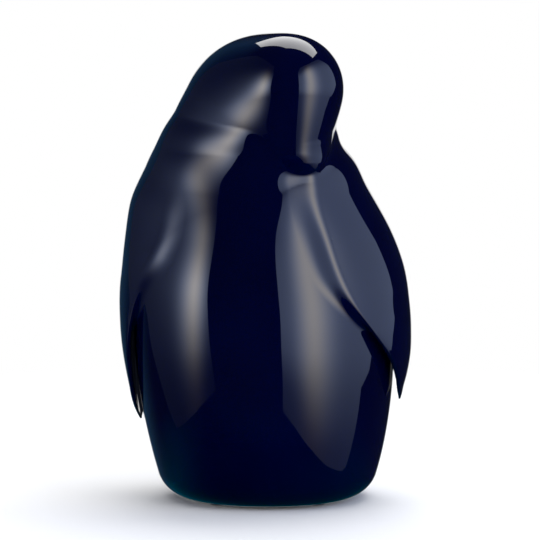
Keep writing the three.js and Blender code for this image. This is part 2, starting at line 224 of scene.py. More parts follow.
def section(p):
    """The trunk's field, then the distance from its axis and the angle from the breast."""
    cx, cy = TRUNK_CURVES.at(p[:, 2], 0, 2)
    dx, dy = p[:, 0] - cx, p[:, 1] - cy
    ahead = np.maximum(-dy, 0)
    rise = np.clip((p[:, 2] - TWIST_Z[0]) / (TWIST_Z[1] - TWIST_Z[0]), 0, TWIST_LIMIT)
    across = dx - TWIST * rise ** 2 * ahead * ahead / (ahead + TWIST_EASE)
    r = np.hypot(across, dy) + TINY
    field = r - section_radius(p[:, 2], across / r, -dy / r) + foot_inset(p[:, 2])
    return field, np.hypot(dx, dy), np.arctan2(dx, -dy)


def foot_inset(z):
    """How far the foot's rounding draws the skin in."""
    lift = np.clip(1 - (z - FOOT_Z) / FOOT_RADIUS, 0, 1)
    return FOOT_RADIUS * (1 - np.sqrt(1 - lift * lift))


def tapered(p, ends):
    """The distance from the skin stretched over two balls."""
    a, b, ra, rb = ends
    ab = b - a
    l2 = ab @ ab
    drop = ra - rb
    a2 = l2 - drop * drop
    pa = p - a
    y = pa @ ab
    z = y - l2
    x2 = ((pa * l2 - y[:, None] * ab) ** 2).sum(1)
    k = np.sign(drop) * drop * drop * x2
    out = (np.sqrt(x2 * a2 / l2) + y * drop) / l2 - ra
    out = np.where(np.sign(y) * a2 * y * y * l2 < k, np.sqrt(x2 + y * y * l2) / l2 - ra, out)
    return np.where(np.sign(z) * a2 * z * z * l2 > k, np.sqrt(x2 + z * z * l2) / l2 - rb, out)


def core_field(p, sec=None):
    """Trunk, nape, head and beak in one skin."""
    trunk = np.maximum((sec or section(p))[0], p[:, 2] - TRUNK[-1, 0])
    bowed = smooth_min(tapered(p, NAPE), tapered(p, HEAD), CROWN_BLEND)
    sharp = smooth_step(*NECK_BLEND_X, p[:, 0])
    k = NECK_BLEND[0] + (NECK_BLEND[1] - NECK_BLEND[0]) * sharp
    fill = sum(np.exp(-((p - point) ** 2).sum(1) / FILL_REACH ** 2) for point in FILLS)
    return smooth_min(trunk, bowed, k) - FILL_HEIGHT * fill


LEAST_RUN = 5.0              # the least radius that a blade is bent round
LEAST_HALF = 0.05            # and its least half width and thickness inside its rounding
CLIMB = 0.5                  # over which the slant of its edges is measured


def wing_field(p, side, core, from_axis, angle):
    """A blade that follows the core's skin: a lens across, grown by the rounding of its edge."""
    rows, curves = WINGS[side]
    low, high = rows[0, 0], rows[-1, 0]
    z = np.clip(p[:, 2], low, high)
    middle, spread, off, thick = curves.at(z, 0, 1, 2, 3)
    middle_up, spread_up = curves.at(z + CLIMB, 0, 1)
    first, last = BLEND_ROWS[side]
    grown = smooth_step(rows[first, 0], rows[last, 0], p[:, 2])
    off = off - SHOULDER_SINK * grown
    thick = thick + SHOULDER_SINK * grown
    edge = EDGE_ROUND[0] + (EDGE_ROUND[1] - EDGE_ROUND[0]) * np.clip((z - low) / EDGE_RISE, 0, 1)
    turn = (angle - np.radians(middle) + np.pi) % (2 * np.pi) - np.pi
    run = np.maximum(from_axis - core + off, LEAST_RUN)
    lean = np.radians((spread_up - spread + np.sign(turn) * (middle_up - middle)) / CLIMB) * run
    steep = np.sqrt(1 + lean * lean)
    wide = np.maximum(np.radians(spread) * run - edge * steep, LEAST_HALF)
    u = np.abs(turn) * run
    power = LENS_POWER[0] + (LENS_POWER[1] - LENS_POWER[0]) * grown
    lens = np.maximum(thick - edge, LEAST_HALF) * np.maximum(1 - (u / wide) ** 2, 0) ** power
    w = np.abs(core - off) - lens
    beyond = np.maximum(u - wide, 0) / steep
    past = np.maximum(np.maximum(low - p[:, 2], p[:, 2] - high), 0)
    outside = np.sqrt(beyond ** 2 + np.maximum(w, 0) ** 2 + past ** 2)
    return np.where(outside > 0, outside, w) - edge


FAR_AWAY = 99.0
WINGS_FROM_X = 8             # no wing comes nearer to the bird's middle plane


def all_fields(p):
    """The core, the two wings, and the whole bird."""
    sec = section(p)
    core = core_field(p, sec)
    wings = {}
    whole = core
    for side, sign in (("right", 1), ("left", -1)):
        near = sign * p[:, 0] > WINGS_FROM_X
        field = np.full(len(p), FAR_AWAY)
        if near.any():
            field[near] = wing_field(p[near], side, core[near], sec[1][near], sec[2][near])
        wings[side] = field
        rows = WINGS[side][0]
        first, last = BLEND_ROWS[side]
        grow = smooth_step(rows[first, 0], rows[last, 0], p[:, 2])
        whole = smooth_min(whole, field, WING_BLEND[0] + (WING_BLEND[1] - WING_BLEND[0]) * grow)
    return core, wings["right"], wings["left"], whole


def whole_field(p):
    """The whole bird in one skin."""
    return all_fields(p)[3]


SLOPE_STEP = 0.08            # over which a field's slope is measured
NORMAL_STEP = 0.15           # and for the normals, which are smoother for it
# for a move onto the skin or along it: the least square of a slope to divide by, and the longest step
SKIN_STEP = (0.25, 0.8)
LINE_STEP = (0.05, 0.6)


def gradient(field, p, e=SLOPE_STEP):
    """The field's slope along each axis."""
    g = np.empty_like(p)
    for axis in range(3):
        d = np.zeros(3)
        d[axis] = e
        g[:, axis] = (field(p + d) - field(p - d)) / (2 * e)
    return g


def stepped(p, value, slope, least_slope, longest):
    """Points moved down a slope by a value, but no farther than the longest step."""
    move = (value / np.maximum((slope * slope).sum(1), least_slope))[:, None] * slope
    size = np.linalg.norm(move, axis=1, keepdims=True)
    return p - move * np.minimum(1, longest / np.maximum(size, TINY))


def project(p, field, rounds=2):
    """Moves points onto the field's zero surface."""
    for _ in range(rounds):
        p = stepped(p, field(p), gradient(field, p), *SKIN_STEP)
    return p


NECK_NORMAL = np.array([-NECK_RISE[0], -NECK_RISE[1], 1.0])
NECK_NORMAL /= np.linalg.norm(NECK_NORMAL)
neck_x, neck_y = (float(column[0]) for column in TRUNK_CURVES.at(np.array([NECK_HEIGHT]), 0, 2))
NECK_CENTRE = np.array([neck_x, neck_y, NECK_HEIGHT])


def neck_side(p):
    """How far a point lies above the plane of the neck's joint."""
    return (p - NECK_CENTRE) @ NECK_NORMAL


# Its surface, as a net of quads


def ladder(*stops):
    """Grid heights from (start, step), (start, step), ..., (end, 0)."""
    coarse = 1.0
    out = []
    for (a, step), (b, _) in zip(stops, stops[1:]):
        n = max(1, round((b - a) / (step * coarse)))
        out.append(np.linspace(a, b, n, endpoint=False))
    return np.concatenate([*out, [stops[-1][0]]])


# finer at the wings' thin tips, on the front and round the beak
AXES = [
    ladder((-66, 0.55), (-36, 1.1), (2, 0.8), (32, 1.0), (36, 0.55), (66, 0)),
    ladder((-60, 0.9), (-48, 0.8), (-26, 1.0), (60, 0)),
    ladder((2.2, 1.1), (31, 0.7), (64, 1.0), (138, 0.7), (168, 1.0), (205, 0)),
]
BLOCK = 4                    # grid steps in a block, of which only those near the skin are sampled
SLOPE_LIMIT = 2.0            # taken as the most that a field changes in a millimetre
BATCH = 400000               # points worked out at a time
OUTSIDE, CORE, RIGHT, LEFT = range(4)


def sample_grid():
    """The whole bird's field at each grid point, and which piece the point is in."""
    n = [len(a) for a in AXES]
    whole = np.empty(n, np.float32)
    label = np.zeros(n, np.int8)
    centres, halves = [], []
    for a in AXES:
        starts = a[:-1:BLOCK]
        ends = np.append(starts[1:], a[-1])
        centres.append((starts + ends) / 2)
        halves.append((ends - starts) / 2)
    grid = np.stack(np.meshgrid(*centres, indexing="ij"), -1).reshape(-1, 3)
    size = np.sqrt(sum(h ** 2 for h in np.meshgrid(*halves, indexing="ij")))
    rough = whole_field(grid).reshape(size.shape)
    near = np.abs(rough) < SLOPE_LIMIT * size
    spans = [np.minimum(np.arange(m) // BLOCK, len(c) - 1) for m, c in zip(n, centres)]
    whole[:] = rough[np.ix_(*spans)]
    label[:] = whole < 0
    mask = near[np.ix_(*spans)]
    # a block's far faces are points of the next block
    for axis in range(3):
        grown = mask.copy()
        here = [slice(None)] * 3
        back = [slice(None)] * 3
        here[axis], back[axis] = slice(1, None), slice(0, -1)
        grown[tuple(here)] |= mask[tuple(back)]
        mask = grown
    ids = np.argwhere(mask)
    p = np.stack([AXES[k][ids[:, k]] for k in range(3)], 1)
    for k in range(0, len(p), BATCH):
        part = slice(k, k + BATCH)
        core, right, left, full = all_fields(p[part])
        what = np.where(right < core, RIGHT, CORE)
        what = np.where(left < core, LEFT, what)
        what = np.where(full < 0, what, OUTSIDE)
        i = tuple(ids[part].T)
        whole[i] = full
        label[i] = what
    return whole, label


def net(whole, label):
    """One vertex in each cell that holds more than one label, one quad across each grid edge with two."""
    n = np.array(label.shape)
    low = [slice(0, -1), slice(1, None)]
    corners = [(i, j, k) for i in (0, 1) for j in (0, 1) for k in (0, 1)]
    first = label[:-1, :-1, :-1]
    mixed = np.zeros(n - 1, bool)
    for i, j, k in corners[1:]:
        mixed |= label[low[i], low[j], low[k]] != first
    ids = np.argwhere(mixed)
    index = np.full(n - 1, -1)
    index[mixed] = np.arange(len(ids))
    total = np.zeros((len(ids), 3))
    count = np.zeros(len(ids))
    steps = [np.diff(a) for a in AXES]
    origin = np.stack([AXES[k][ids[:, k]] for k in range(3)], 1)
    cell = np.stack([steps[k][ids[:, k]] for k in range(3)], 1)
    for a in corners:
        for axis in range(3):
            if a[axis]:
                continue
            b = list(a)
            b[axis] = 1
            ia = tuple((ids + a).T)
            ib = tuple((ids + b).T)
            cross = label[ia] != label[ib]
            va, vb = whole[ia], whole[ib]
            open_air = (va < 0) != (vb < 0)
            t = np.where(open_air, va / np.where(open_air, va - vb, 1), 0.5)
            point = np.array(a, float) + t[:, None] * (np.array(b) - np.array(a))
            total[cross] += point[cross]
            count[cross] += 1
    verts = origin + cell * total / count[:, None]
    quads, sides = [], []
    for axis in range(3):
        u, v = (axis + 1) % 3, (axis + 2) % 3
        here, there = [slice(None)] * 3, [slice(None)] * 3
        here[axis], there[axis] = slice(0, -1), slice(1, None)
        la, lb = label[tuple(here)], label[tuple(there)]
        e = np.argwhere(la != lb)
        e = e[(e[:, u] > 0) & (e[:, v] > 0) & (e[:, u] < n[u] - 1) & (e[:, v] < n[v] - 1)]

        def at(du, dv):
            q = e.copy()
            q[:, u] -= du
            q[:, v] -= dv
            return index[tuple(q.T)]

        quads.append(np.stack([at(1, 1), at(0, 1), at(0, 0), at(1, 0)], 1))
        sides.append(np.stack([la[tuple(e.T)], lb[tuple(e.T)]], 1))
    return verts, np.concatenate(quads), np.concatenate(sides)


def wing_gap(p):
    """Zero on the surface where a wing meets the core."""
    core, right, left, _ = all_fields(p)
    return np.minimum(right, left) - core


def to_line(p, other, rounds=4):
    """Moves points of the skin onto the line where the other field is zero too."""
    for _ in range(rounds):
        for field in (whole_field, other):
            slope = gradient(field, p)
            if field is other:
                skin = gradient(whole_field, p)
                skin /= np.linalg.norm(skin, axis=1, keepdims=True) + TINY
                slope = slope - (slope * skin).sum(1, keepdims=True) * skin
            p = stepped(p, field(p), slope, *LINE_STEP)
    return p


# Pieces of the mesh


class Builder:
    """Vertices in mm with quads and triangles, each face marked as glazed skin or bare."""

    def __init__(self, verts, faces, glazed):
        self.verts = [np.asarray(verts, float)]
        self.count = len(verts)
        self.faces = [np.asarray(faces)]
        self.glazed = [np.asarray(glazed)]

    def points(self, p):
        """Adds vertices and gives their numbers."""
        p = np.asarray(p, float).reshape(-1, 3)
        self.verts.append(p)
        self.count += len(p)
        return np.arange(self.count - len(p), self.count)

    def add(self, faces, glazed=False):
        """Adds quads or triangles. A triangle is kept with -1 as its fourth corner."""
        faces = np.asarray(faces)
        if faces.shape[1] == 3:
            faces = np.concatenate([faces, np.full((len(faces), 1), -1)], 1)
        self.faces.append(faces)
        self.glazed.append(np.full(len(faces), glazed))

    def where(self):
        """All the vertices."""
        return np.concatenate(self.verts)


def compact(verts, faces):
    """Only the vertices that the faces use, and the faces with their new numbers."""
    used = np.unique(faces)
    again = np.full(len(verts), -1)
    again[used] = np.arange(len(used))
    return verts[used], again[faces]


def rims(faces):
    """The open edges of a run of quads, as closed loops of vertices in the direction the quads use them."""
    a = faces.reshape(-1)
    b = np.roll(faces, -1, axis=1).reshape(-1)
    size = faces.max() + 1
    open_edges = ~np.isin(a.astype(np.int64) * size + b, b.astype(np.int64) * size + a)
    follow = dict(zip(a[open_edges].tolist(), b[open_edges].tolist()))
    loops = []
    while follow:
        start, at = follow.popitem()
        loop = [start]
        while at != start and at in follow:
            loop.append(at)
            at = follow.pop(at)
        loops.append(np.array(loop))
    return sorted(loops, key=len, reverse=True)


def bearing(p, centre):
    """The angle from the breast's side, growing to the right."""
    return np.arctan2(p[:, 0] - centre[0], centre[1] - p[:, 1])


def in_turn(loop, verts, centre):
    """A loop started at its lowest bearing and run so that bearings grow, with those bearings."""
    angle = bearing(verts[loop], centre)
    if np.sum((np.diff(angle, append=angle[0]) + np.pi) % (2 * np.pi) - np.pi) < 0:
        loop, angle = loop[::-1], angle[::-1]
    start = int(np.argmin(angle))
    loop, angle = np.roll(loop, -start), np.roll(angle, -start)
    return loop, np.maximum.accumulate(angle)


def same_way(loop, other):
    """Whether two runs round the same loop go the same way."""
    return loop[(list(loop).index(other[0]) + 1) % len(loop)] == other[1]


def strip(a, angle_a, b, angle_b):
    """Triangles between two loops that both run with growing bearing, b inside or above a."""
    i = j = 0
    na, nb = len(a), len(b)
    out = []
    while i < na or j < nb:
        next_a = angle_a[(i + 1) % na] + (2 * np.pi if i + 1 >= na else 0)
        next_b = angle_b[(j + 1) % nb] + (2 * np.pi if j + 1 >= nb else 0)
        if j >= nb or (i < na and next_a <= next_b):
            out.append((a[i % na], a[(i + 1) % na], b[j % nb]))
            i += 1
        else:
            out.append((a[i % na], b[(j + 1) % nb], b[j % nb]))
            j += 1
    return np.array(out)


def joined(a, b):
    """Quads between two loops of the same length."""
    return np.stack([a, np.roll(a, -1), np.roll(b, -1), b], 1)


def bird_surface():
    """The net moved onto the bird: vertices, quads, the pieces on a quad's two sides, and the open skin."""
    verts, quads, sides = net(*sample_grid())
    on_skin = np.zeros(len(verts), bool)
    on_wing_joint = np.zeros(len(verts), bool)
    outer = (sides == OUTSIDE).any(1)
    on_skin[quads[outer]] = True
    on_wing_joint[quads[~outer]] = True
    verts[on_skin] = project(verts[on_skin], whole_field, 3)
    buried = on_wing_joint & ~on_skin
    verts[buried] = project(verts[buried], wing_gap)
    seam = on_wing_joint & on_skin
    verts[seam] = to_line(verts[seam], wing_gap)
    return verts, quads, sides, on_skin & ~on_wing_joint


surface, quads, sides, open_skin = bird_surface()


def faces_of(what):
    """A piece's quads, facing out of it, and which of them are skin."""
    mine = (sides == what).any(1)
    faces = quads[mine]
    below = sides[mine, 0] == what
    faces = np.where(below[:, None], faces, faces[:, ::-1])
    return faces, (sides[mine] == OUTSIDE).any(1)


def patches(faces):
    """The number of the connected patch that each face is in."""
    name = np.arange(faces.max() + 1)
    while True:
        least = name[faces].min(1)
        new = name.copy()
        np.minimum.at(new, faces.reshape(-1), np.repeat(least, faces.shape[1]))
        new = new[new]
        if (new == name).all():
            return name[faces[:, 0]]
        name = new


def without_islands(faces, flag):
    """Turns over the flag of every patch of faces that is small, so that each side is one piece."""
    for value in (True, False):
        mine = np.flatnonzero(flag == value)
        patch = patches(faces[mine])
        names, sizes = np.unique(patch, return_counts=True)
        small = ~np.isin(patch, names[sizes == sizes.max()])
        flag[mine[small]] = not value
    return flag


def parted_core():
    """The quads and skin marks of the trunk, then those of the head, with a clean line between the two."""
    core_quads, core_skin = faces_of(CORE)
    # what lies under a wing is all trunk
    above = without_islands(core_quads, core_skin & (neck_side(surface[core_quads].mean(1)) > 0))
    shared = np.intersect1d(core_quads[above], core_quads[~above])
    line = shared[open_skin[shared]]
    surface[line] = to_line(surface[line], neck_side)
    return (core_quads[~above], core_skin[~above]), (core_quads[above], core_skin[above])


AROUND = 96
COARSE = np.linspace(-np.pi, np.pi, AROUND, endpoint=False)
SPINE_FOOT = np.array([c[0] for c in TRUNK_CURVES.at(np.array([0.0]), 0, 2)])


def level_ring(z, radius, angles=COARSE):
    """Points round the trunk's axis at a height."""
    z = np.full(len(angles), float(z))
    cx, cy = TRUNK_CURVES.at(z, 0, 2)
    return np.stack([cx + radius * np.sin(angles), cy - radius * np.cos(angles), z], 1)


def wall_ring(z, inset, angles=COARSE):
    """Points at a height, set in from the trunk's section."""
    heights = np.full(len(angles), float(z))
    return level_ring(z, section_radius(heights, np.sin(angles), np.cos(angles)) - inset, angles)


RAY_LENGTH = 90
HALVINGS = 12


def first_depth(centre, directions, depth):
    """Where rays from inside the core first come within a depth of its skin."""
    near = np.zeros(len(directions))
    for t in np.linspace(1, RAY_LENGTH, RAY_LENGTH):
        deep = core_field(centre + directions * t) + depth < 0
        open_ray = near == t - 1
        near = np.where(open_ray & deep, t, near)
    far = near + 1
    for _ in range(HALVINGS):
        middle = (near + far) / 2
        deep = core_field(centre + directions * middle[:, None]) + depth < 0
        near = np.where(deep, middle, near)
        far = np.where(deep, far, middle)
    return centre + directions * near[:, None]


def neck_directions(climb=0.0):
    """Unit vectors from the neck's centre, in the joint's plane and climbing from it."""
    flat = np.stack([np.sin(COARSE), -np.cos(COARSE), np.zeros(AROUND)], 1)
    flat[:, 2] = -(flat @ NECK_NORMAL) / NECK_NORMAL[2]
    flat /= np.linalg.norm(flat, axis=1, keepdims=True)
    return flat * math.cos(climb) + NECK_NORMAL * math.sin(climb)


def chain(builder, rings, first, last=None, flip=False):
    """Faces over a run of rings, from an open edge of the mesh to another one or to a point."""
    ids = [builder.points(r) for r in rings]
    made = [strip(first[0], first[1], ids[0], COARSE)]
    for a, b in zip(ids, ids[1:]):
        if len(b) == 1:
            made.append(np.stack([a, np.roll(a, -1), np.full(len(a), b[0])], 1))
        else:
            made.append(joined(a, b))
    if last is not None:
        made.append(strip(ids[-1], COARSE, last[0], last[1]))
    for faces in made:
        builder.add(faces[:, ::-1] if flip else faces)


EDGE_Z = 2.4                       # where the net ends and the foot's own rings begin
GLAZE_END = math.radians(81)       # how far round the foot's edge the glaze runs
ROUND_STEPS = 6
OPENING_EASE = 0.6                 # the softened edge of the opening in the foot
HOLLOW_HEIGHTS = np.linspace(20, 128, 13)
HOLLOW_SPARE = 0.6                 # so that the hollow's flat facets don't thin the wall


def trunk_shell(quads, skin):
    """The skin, the foot's rounding and flat ring, the rebate for the disc, and the hollow up to the neck."""
    points, faces = compact(surface, quads)
    loops = sorted(rims(faces), key=lambda loop: points[loop, 2].mean())
    foot_loop, neck_loop = loops[0], max(loops[1:], key=len)
    cx, cy = TRUNK_CURVES.at(np.full(len(foot_loop), EDGE_Z), 0, 2)
    edge_angles = np.arctan2(points[foot_loop, 0] - cx, cy - points[foot_loop, 1])
    points[foot_loop] = wall_ring(EDGE_Z, foot_inset(np.array([EDGE_Z]))[0], edge_angles)
    trunk = Builder(points, faces, skin)
    ring, angles = in_turn(foot_loop, points, SPINE_FOOT)
    flip = same_way(ring, foot_loop)
    turn_from = math.asin(1 - (EDGE_Z - FOOT_Z) / FOOT_RADIUS)
    for turn in np.linspace(turn_from, math.pi / 2, ROUND_STEPS + 1)[1:]:
        z = FOOT_Z + FOOT_RADIUS * (1 - math.sin(turn))
        lower = trunk.points(wall_ring(z, FOOT_RADIUS * (1 - math.cos(turn)), angles))
        band = joined(ring, lower)
        trunk.add(band[:, ::-1] if flip else band, bool(turn < GLAZE_END))
        ring = lower
    rings = [
        level_ring(FOOT_Z, OPENING_RADIUS + OPENING_EASE),
        level_ring(FOOT_Z + OPENING_EASE / 4, OPENING_RADIUS + OPENING_EASE / 3),
        level_ring(FOOT_Z + OPENING_EASE, OPENING_RADIUS),
        level_ring(LEDGE_Z, OPENING_RADIUS),
        level_ring(LEDGE_Z, OPENING_RADIUS - LEDGE_WIDTH),
        level_ring(FLOOR_Z, OPENING_RADIUS - LEDGE_WIDTH),
    ]
    for turn in np.linspace(0, math.pi / 2, ROUND_STEPS + 1):
        z = FLOOR_Z + FLOOR_FILLET * (1 - math.cos(turn))
        rings.append(wall_ring(z, TRUNK_WALL + FLOOR_FILLET * (1 - math.sin(turn))))
    for z in HOLLOW_HEIGHTS:
        rings.append(wall_ring(z, TRUNK_WALL + HOLLOW_SPARE))
    neck_wall = first_depth(NECK_CENTRE, neck_directions(), TRUNK_WALL)
    rings.append(neck_wall - 0.5 * SLIP_GAP * NECK_NORMAL)
    chain(trunk, rings, first=(ring, angles), last=in_turn(neck_loop, points, NECK_CENTRE), flip=flip)
    return trunk


DOME_STEPS = 11                    # from the neck's plane to the crown, the lowest of them left to the collar


def head_shell(quads, skin):
    """The skin, the rim, the collar that drops into the neck, and the hollow up to the crown."""
    points, faces = compact(surface, quads)
    head = Builder(points, faces, skin)
    rim_loop = rims(faces)[0]
    loop, angles = in_turn(rim_loop, points, NECK_CENTRE)
    rim = NECK_CENTRE + 0.5 * SLIP_GAP * NECK_NORMAL
    outside = TRUNK_WALL + COLLAR_GAP
    collar_out = first_depth(NECK_CENTRE, neck_directions(), outside) - NECK_CENTRE
    collar_in = first_depth(NECK_CENTRE, neck_directions(), outside + COLLAR_THICK) - NECK_CENTRE
    down = COLLAR_DEPTH * NECK_NORMAL
    rings = [rim + collar_out, rim + collar_out - down, rim + collar_in - down, rim + collar_in]
    for climb in np.linspace(0, math.pi / 2, DOME_STEPS + 1)[2:-1]:
        rings.append(first_depth(NECK_CENTRE, neck_directions(climb), HEAD_WALL))
    rings.append(first_depth(NECK_CENTRE, NECK_NORMAL[None, :], HEAD_WALL))
    chain(head, rings, first=(loop, angles), flip=same_way(loop, rim_loop))
    return head


def wing_blade(what):
    """A wing's skin, closed by the buried surface where it meets the core."""
    faces, skin = faces_of(what)
    return Builder(*compact(surface, faces), skin)


# Materials, with noise scales per metre and bump heights in metres

BLUE = (0.0, 0.0003, 0.0105, 1)
BLUE_THIN = (0.0, 0.0007, 0.0155, 1)
BLUE_SPECK = (0.0003, 0.002, 0.03, 1)
BISQUE = (0.70, 0.66, 0.58, 1)
BISQUE_DARK = (0.56, 0.51, 0.43, 1)
GRIT = (0.33, 0.27, 0.2, 1)
FELT = (0.020, 0.020, 0.024, 1)
FELT_LIGHT = (0.050, 0.050, 0.056, 1)
BLACK = (0, 0, 0, 1)
WHITE = (1, 1, 1, 1)


class Nodes:
    """A short way to write the node tree of a material or a world."""

    def __init__(self, owner, output="OutputMaterial"):
        self.owner = owner
        owner.use_nodes = True
        self.tree = owner.node_tree
        self.tree.nodes.clear()
        self.out = self.new(output)

    def new(self, kind, inputs=None, **settings):
        node = self.tree.nodes.new("ShaderNode" + kind)
        for key, value in settings.items():
            setattr(node, key, value)
        for key, value in (inputs or {}).items():
            if hasattr(value, "is_linked"):
                self.tree.links.new(value, node.inputs[key])
            else:
                node.inputs[key].default_value = value
        return node

    def maths(self, operation, *values):
        return self.new("Math", dict(enumerate(values)), operation=operation).outputs[0]

    def between(self, value, start, end, low=0.0, high=1.0):
        """Low where the value is at the start, high at the end, and held there beyond."""
        inputs = {"Value": value, "From Min": start, "From Max": end, "To Min": low, "To Max": high}
        return self.new("MapRange", inputs).outputs["Result"]

    def blend(self, share, first, second):
        """A mix of two colours, all the second where the share is 1."""
        return self.new("Mix", {"Factor": share, 6: first, 7: second}, data_type="RGBA").outputs[2]

    def mixed(self, share, first, second):
        """A mix of two shaders, all the second where the share is 1."""
        return self.new("MixShader", {0: share, 1: first, 2: second}).outputs[0]

    def glow(self, colour, strength):
        return self.new("Emission", {"Color": colour, "Strength": strength}).outputs[0]

    def place(self):
        return self.new("TexCoord").outputs["Object"]

    def apart(self, vector):
        """The three coordinates of a vector."""
        return self.new("SeparateXYZ", {0: vector}).outputs

    def ramp(self, value, stops):
        node = self.new("ValToRGB", {"Fac": value})
        elements = node.color_ramp.elements
        while len(elements) > len(stops):
            elements.remove(elements[-1])
        while len(elements) < len(stops):
            elements.new(1.0)
        for element, (place, colour) in zip(elements, stops):
            element.position = place
            element.color = colour
        return node.outputs["Color"]

    def noise(self, scale, detail=2.0, rough=0.5):
        inputs = {"Vector": self.place(), "Scale": scale, "Detail": detail, "Roughness": rough}
        return self.new("TexNoise", inputs).outputs["Fac"]

    def bump(self, height, distance, strength=1.0, normal=None):
        inputs = {"Height": height, "Distance": distance, "Strength": strength}
        if normal is not None:
            inputs["Normal"] = normal
        return self.new("Bump", inputs).outputs["Normal"]

    def surface(self, shader):
        self.tree.links.new(shader, self.out.inputs["Surface"])
        return self.owner


def material_nodes(name):
    return Nodes(bpy.data.materials.new(name))


def glaze_material():
    """Cobalt glaze over white porcelain: deep, a little thinner where it has drawn off, faintly uneven."""
    n = material_nodes("cobalt_glaze")
    colour = n.ramp(n.noise(26.0, 3.0, 0.55), [(0.30, BLUE), (0.75, BLUE_THIN)])
    dots = n.ramp(n.noise(2600.0, 1.0), [(0.73, BLACK), (0.80, WHITE)])
    swell = n.bump(n.noise(38.0, 1.0), 0.00012, 0.5)
    shader = n.new("BsdfPrincipled", {
        "Base Color": n.blend(dots, colour, BLUE_SPECK),
        "Roughness": n.between(n.noise(90.0, 3.0), 0, 1, 0.02, 0.045),
        "IOR": 1.55,
        "Normal": n.bump(n.noise(420.0, 2.0), 0.0000015, 0.6, swell),
    })
    return n.surface(shader.outputs["BSDF"])


def bisque_material():
    """Unglazed fired clay: pale, chalky, with fine grit."""
    n = material_nodes("bisque_clay")
    cloud = n.noise(120.0, 4.0, 0.6)
    colour = n.ramp(cloud, [(0.3, BISQUE_DARK), (0.62, BISQUE)])
    dots = n.ramp(n.noise(1900.0, 2.0), [(0.68, BLACK), (0.74, WHITE)])
    shader = n.new("BsdfPrincipled", {
        "Base Color": n.blend(dots, colour, GRIT),
        "Roughness": n.between(cloud, 0, 1, 0.78, 0.95),
        "Normal": n.bump(n.noise(900.0, 3.0, 0.65), 0.00012, 0.6),
    })
    return n.surface(shader.outputs["BSDF"])


def felt_material():
    """Pressed black felt with lighter stray fibres."""
    n = material_nodes("pressed_felt")
    texture = n.new("TexNoise", {"Vector": n.place(), "Scale": 3200.0, "Detail": 4.0, "Distortion": 1.6})
    fibres = texture.outputs["Fac"]
    shader = n.new("BsdfPrincipled", {
        "Base Color": n.ramp(fibres, [(0.42, FELT), (0.68, FELT_LIGHT)]),
        "Roughness": n.between(fibres, 0, 1, 0.9, 1.0),
        "Sheen Weight": 0.4,
        "Sheen Roughness": 0.5,
        "Normal": n.bump(fibres, 0.00018, 0.8),
    })
    return n.surface(shader.outputs["BSDF"])


GLAZE = glaze_material()
CLAY = bisque_material()
FELTED = felt_material()

# The pieces

disc_low, disc_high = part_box("base_disc")
disc_centre = ((disc_low.x + disc_high.x) / 2, (disc_low.y + disc_high.y) / 2, disc_low.z)
shift = np.array([disc_centre[0] / MM - SPINE_FOOT[0], disc_centre[1] / MM - SPINE_FOOT[1], 0])


def mesh_object(name, points, faces, *materials):
    """A mesh object in the scene, from points in metres."""
    mesh = bpy.data.meshes.new(name)
    mesh.from_pydata(points, [], faces)
    mesh.update()
    for material in materials:
        mesh.materials.append(material)
    obj = bpy.data.objects.new(name, mesh)
    bpy.context.scene.collection.objects.link(obj)
    return obj


def as_piece(obj, node):
    """A piece rides with the bird and takes the place of a node of the part."""
    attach(obj, "root")
    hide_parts(node)


def put(name, builder, slot_name, node, *materials):
    """A casting, moved from the form's own place to the part's. A second material is for its bare faces."""
    points = builder.where()
    glazed = np.concatenate(builder.glazed)
    corners = [tuple(f[:3]) if f[3] < 0 else tuple(f) for f in np.concatenate(builder.faces).tolist()]
    obj = mesh_object(name, ((points + shift) * MM).tolist(), corners, *materials)
    mesh = obj.data
    if len(materials) > 1:
        mesh.polygons.foreach_set("material_index", (~glazed).astype(np.int32))
    mesh.polygons.foreach_set("use_smooth", np.ones(len(corners), bool))
    skin = gradient(whole_field, points, NORMAL_STEP)
    skin /= np.linalg.norm(skin, axis=1, keepdims=True) + TINY
    loops = np.empty(len(mesh.loops), np.int64)
    mesh.loops.foreach_get("vertex_index", loops)
    flat = np.empty(len(corners) * 3)
    mesh.polygons.foreach_get("normal", flat)
    sizes = np.array([len(c) for c in corners])
    use = np.repeat(glazed, sizes)
    normals = np.where(use[:, None], skin[loops], np.repeat(flat.reshape(-1, 3), sizes, axis=0))
    mesh.normals_split_custom_set(normals.tolist())
    as_piece(obj, node)


trunk_part, head_part = parted_core()
put("trunk", trunk_shell(*trunk_part), "glaze_trunk", "trunk_casting", GLAZE, CLAY)
put("head", head_shell(*head_part), "glaze_head", "head_casting", GLAZE, CLAY)
put("right_wing_form", wing_blade(RIGHT), "glaze_right_wing", "right_wing", GLAZE)
put("left_wing_form", wing_blade(LEFT), "glaze_left_wing", "left_wing", GLAZE)


def turned(name, profile, centre, around, wobble, material, node):
    """A round piece from a closed profile of (radius, height), a few soft waves off true."""
    angles = np.linspace(0, 2 * np.pi, around, endpoint=False)
    points, faces = [], []
    for j, (r, z) in enumerate(profile):
        radius = r + wobble * (np.sin(3 * angles + 1.3) + 0.6 * np.sin(7 * angles + r))
        lift = z + 0.4 * wobble * np.sin(2 * angles + 0.4 * r)
        points.append(np.stack([radius * np.cos(angles), radius * np.sin(angles), lift], 1))
        ring = np.arange(around)
        faces.append(joined(ring + j * around, ring + (j + 1) % len(profile) * around))
    where = np.concatenate(points) * MM + np.array(centre)
    obj = mesh_object(name, where.tolist(), np.concatenate(faces).tolist(), material)
    obj.data.polygons.foreach_set("use_smooth", np.ones(len(obj.data.polygons), bool))
    as_piece(obj, node)


